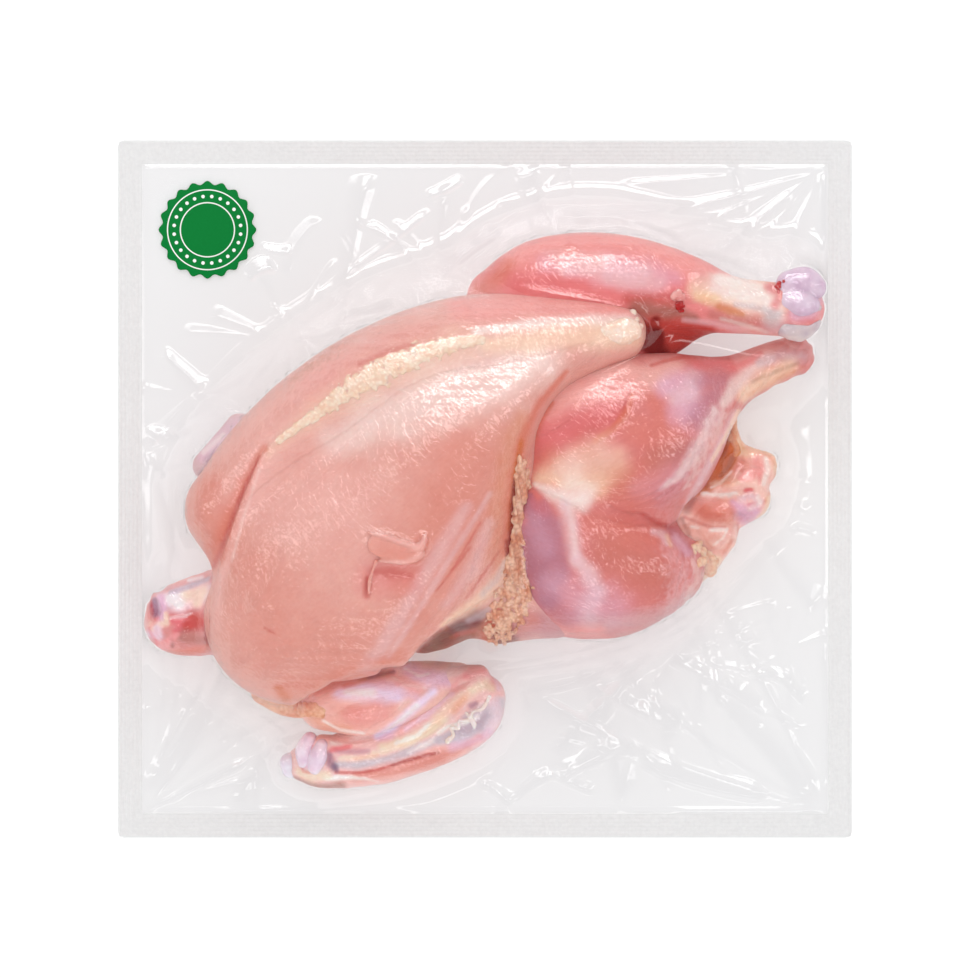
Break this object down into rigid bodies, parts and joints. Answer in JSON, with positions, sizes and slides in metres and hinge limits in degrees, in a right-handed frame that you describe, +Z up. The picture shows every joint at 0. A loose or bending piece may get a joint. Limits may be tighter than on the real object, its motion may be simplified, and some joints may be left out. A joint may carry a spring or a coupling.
{
  "type": "vacuum-packed whole raw chicken",
  "caption": "Whole skinless raw chicken under a clear film drawn down over it, in a flat pouch with a knurled heat seal all round and a plain round label.",
  "frame": {"origin": "centre of the pouch's flat underside, on the surface it rests on", "axes": "+X from the neck to the ankles, along the pouch's longer side; +Y towards the far drumstick; +Z up, out of the breast"},
  "size_m": [0.32, 0.304, 0.0917],
  "materials": {
    "raw_meat": "wet raw poultry meat, soft and glossy",
    "fat": "pale yellow fat, rough and greasy",
    "cartilage": "lavender-white cartilage and tendon, wet and smooth",
    "clear_film": "clear glossy barrier film with creases",
    "label_paper": "satin printed paper label"
  },
  "bodies": {
    "root": {"vacuum_pack": "raw_meat", "round_label": "label_paper"}
  },
  "joints": []
}
